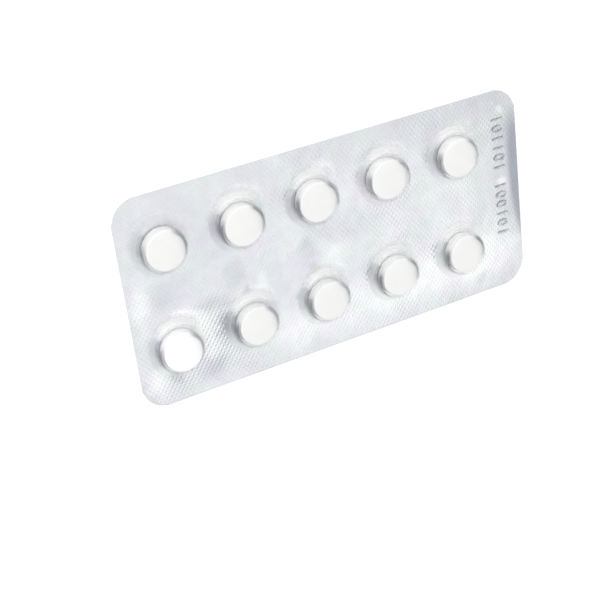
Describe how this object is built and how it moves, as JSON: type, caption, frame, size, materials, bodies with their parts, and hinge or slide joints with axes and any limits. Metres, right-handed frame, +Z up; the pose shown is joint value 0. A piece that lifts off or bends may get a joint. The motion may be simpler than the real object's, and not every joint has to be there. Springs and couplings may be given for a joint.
{
  "type": "pill blister pack",
  "caption": "Push-through blister pack: a clear formed film with rows of round pockets, a knurled foil backing, and a round white tablet loose in each pocket.",
  "frame": {"origin": "centre of the foil's underside, in the middle of the pack's outline", "axes": "+X along the pack towards the end with the wide coded margin, +Y across the pack, +Z up through the pockets"},
  "size_m": [0.088, 0.0428, 0.0037],
  "materials": {
    "clear_film": "clear glossy rigid film, knurled where it is sealed",
    "foil": "bright foil with a fine diamond knurl",
    "tablet": "smooth matt white, pressed powder"
  },
  "bodies": {
    "root": {"formed_film": "clear_film", "lidding_foil": "foil", "tablet_1": "tablet", "tablet_2": "tablet", "tablet_3": "tablet", "tablet_4": "tablet", "tablet_5": "tablet", "tablet_6": "tablet", "tablet_7": "tablet", "tablet_8": "tablet", "tablet_9": "tablet", "tablet_10": "tablet"}
  },
  "joints": []
}
